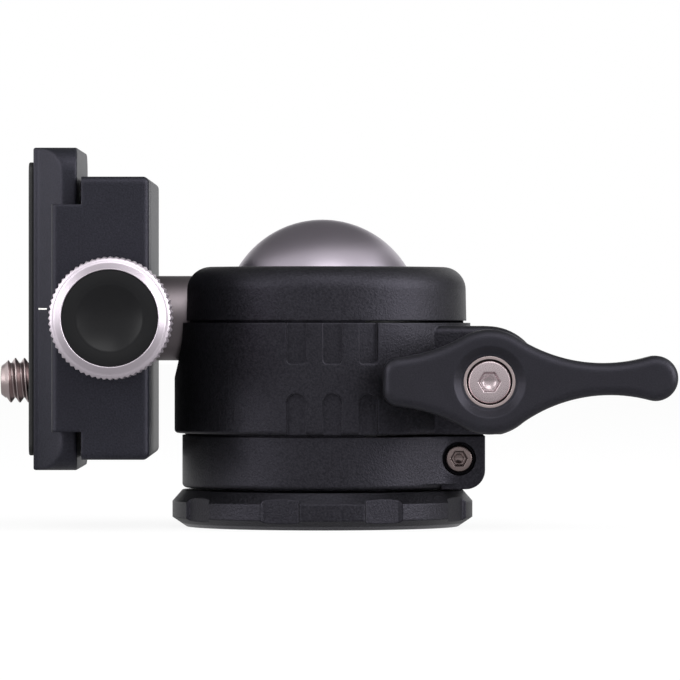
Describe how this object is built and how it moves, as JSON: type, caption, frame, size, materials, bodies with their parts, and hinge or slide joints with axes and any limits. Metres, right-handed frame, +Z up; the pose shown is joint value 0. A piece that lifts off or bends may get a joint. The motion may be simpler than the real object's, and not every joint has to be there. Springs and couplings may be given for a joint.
{
  "type": "tripod ball head",
  "caption": "Low-profile tripod ball head with a split clamp housing, drop notch, lock lever, panning base and screw-knob quick-release clamp with plate.",
  "frame": {"origin": "centre of the tripod thread's mouth, in the base's bottom face", "axes": "+Z up along the pan axis; -X along the stem to the camera plate as stored; -Y to the clamp knob and lock lever"},
  "size_m": [0.0947, 0.0599, 0.0533],
  "materials": {
    "anodised_black": "satin black with a fine even grain",
    "lever_black": "smooth satin black",
    "clamp_black": "matte black with a fine blasted grain",
    "ball_grey": "fine turned satin, hard anodised grey",
    "stem_grey": "turned satin grey",
    "knob_silver": "bright satin, straight knurl",
    "cap_black": "semi-gloss moulded black",
    "stainless": "turned stainless steel",
    "spring_steel": "dark spring steel",
    "acetal": "black low-friction plastic",
    "rubber": "matte black rubber"
  },
  "bodies": {
    "base": {"pan_base": "anodised_black", "thread_insert": "stainless"},
    "housing": {"housing": "anodised_black", "pan_bush": "acetal", "retaining_ring": "spring_steel", "slip_washer": "spring_steel", "cup_spring": "spring_steel", "lower_cup": "acetal", "upper_seat": "acetal", "clamp_nut": "stainless", "thrust_washer": "acetal"},
    "lever": {"lock_lever": "lever_black", "lever_sleeve": "stainless", "lever_screw": "stainless", "lock_bolt": "stainless"},
    "pan_screw": {"pan_lock_screw": "stainless"},
    "ball": {"ball": "ball_grey"},
    "head": {"stem": "stem_grey", "clamp_body": "clamp_black", "stem_screw": "stainless", "anti_turn_pins": "stainless", "guide_pins": "stainless", "jaw_spring": "spring_steel"},
    "jaw": {"movable_jaw": "clamp_black", "knob_washer": "stainless"},
    "knob": {"knob_ring": "knob_silver", "knob_cap": "cap_black", "clamp_screw": "stainless"},
    "plate": {"quick_release_plate": "clamp_black", "rubber_pad": "rubber"},
    "screw_slider": {"camera_screw_washer": "acetal"},
    "camera_screw": {"camera_screw": "stainless"}
  },
  "joints": [
    {"name": "pan", "type": "hinge", "parent": "base", "child": "housing", "pos_m": [0, 0, 0], "axis": [0, 0, 1], "continuous": true},
    {"name": "ball_tilt", "type": "hinge", "parent": "housing", "child": "ball", "pos_m": [0, 0, 0.0295], "axis": [0, 1, 0], "range_deg": [-2, 120]},
    {"name": "ball_spin", "type": "hinge", "parent": "ball", "child": "head", "pos_m": [0, 0, 0.0295], "axis": [-1, 0, 0], "range_deg": [-60, 240]},
    {"name": "lock_lever_turn", "type": "hinge", "parent": "housing", "child": "lever", "pos_m": [0.0231, 0, 0.0207], "axis": [0, -1, 0], "range_deg": [-35, 40]},
    {"name": "pan_lock_turn", "type": "hinge", "parent": "housing", "child": "pan_screw", "pos_m": [0.0192, 0, 0.0098], "axis": [0, -1, 0], "range_deg": [0, 360]},
    {"name": "clamp_knob_turn", "type": "hinge", "parent": "jaw", "child": "knob", "pos_m": [-0.0289, 0, 0.0295], "axis": [0, -1, 0], "range_deg": [0, 1080]},
    {"name": "jaw_slide", "type": "slide", "parent": "head", "child": "jaw", "axis": [0, -1, 0], "range_m": [0, 0.003]},
    {"name": "plate_slide", "type": "slide", "parent": "head", "child": "plate", "axis": [0, 0, 1], "range_m": [-0.014, 0.011]},
    {"name": "camera_screw_slide", "type": "slide", "parent": "plate", "child": "screw_slider", "axis": [0, 0, 1], "range_m": [0, 0.0202]},
    {"name": "camera_screw_turn", "type": "hinge", "parent": "screw_slider", "child": "camera_screw", "pos_m": [-0.036, 0, 0.0207], "axis": [-1, 0, 0], "continuous": true}
  ],
  "couplings": [
    {"joint": "clamp_knob_turn", "follows": "jaw_slide", "rad_per_m": 6283.2}
  ]
}
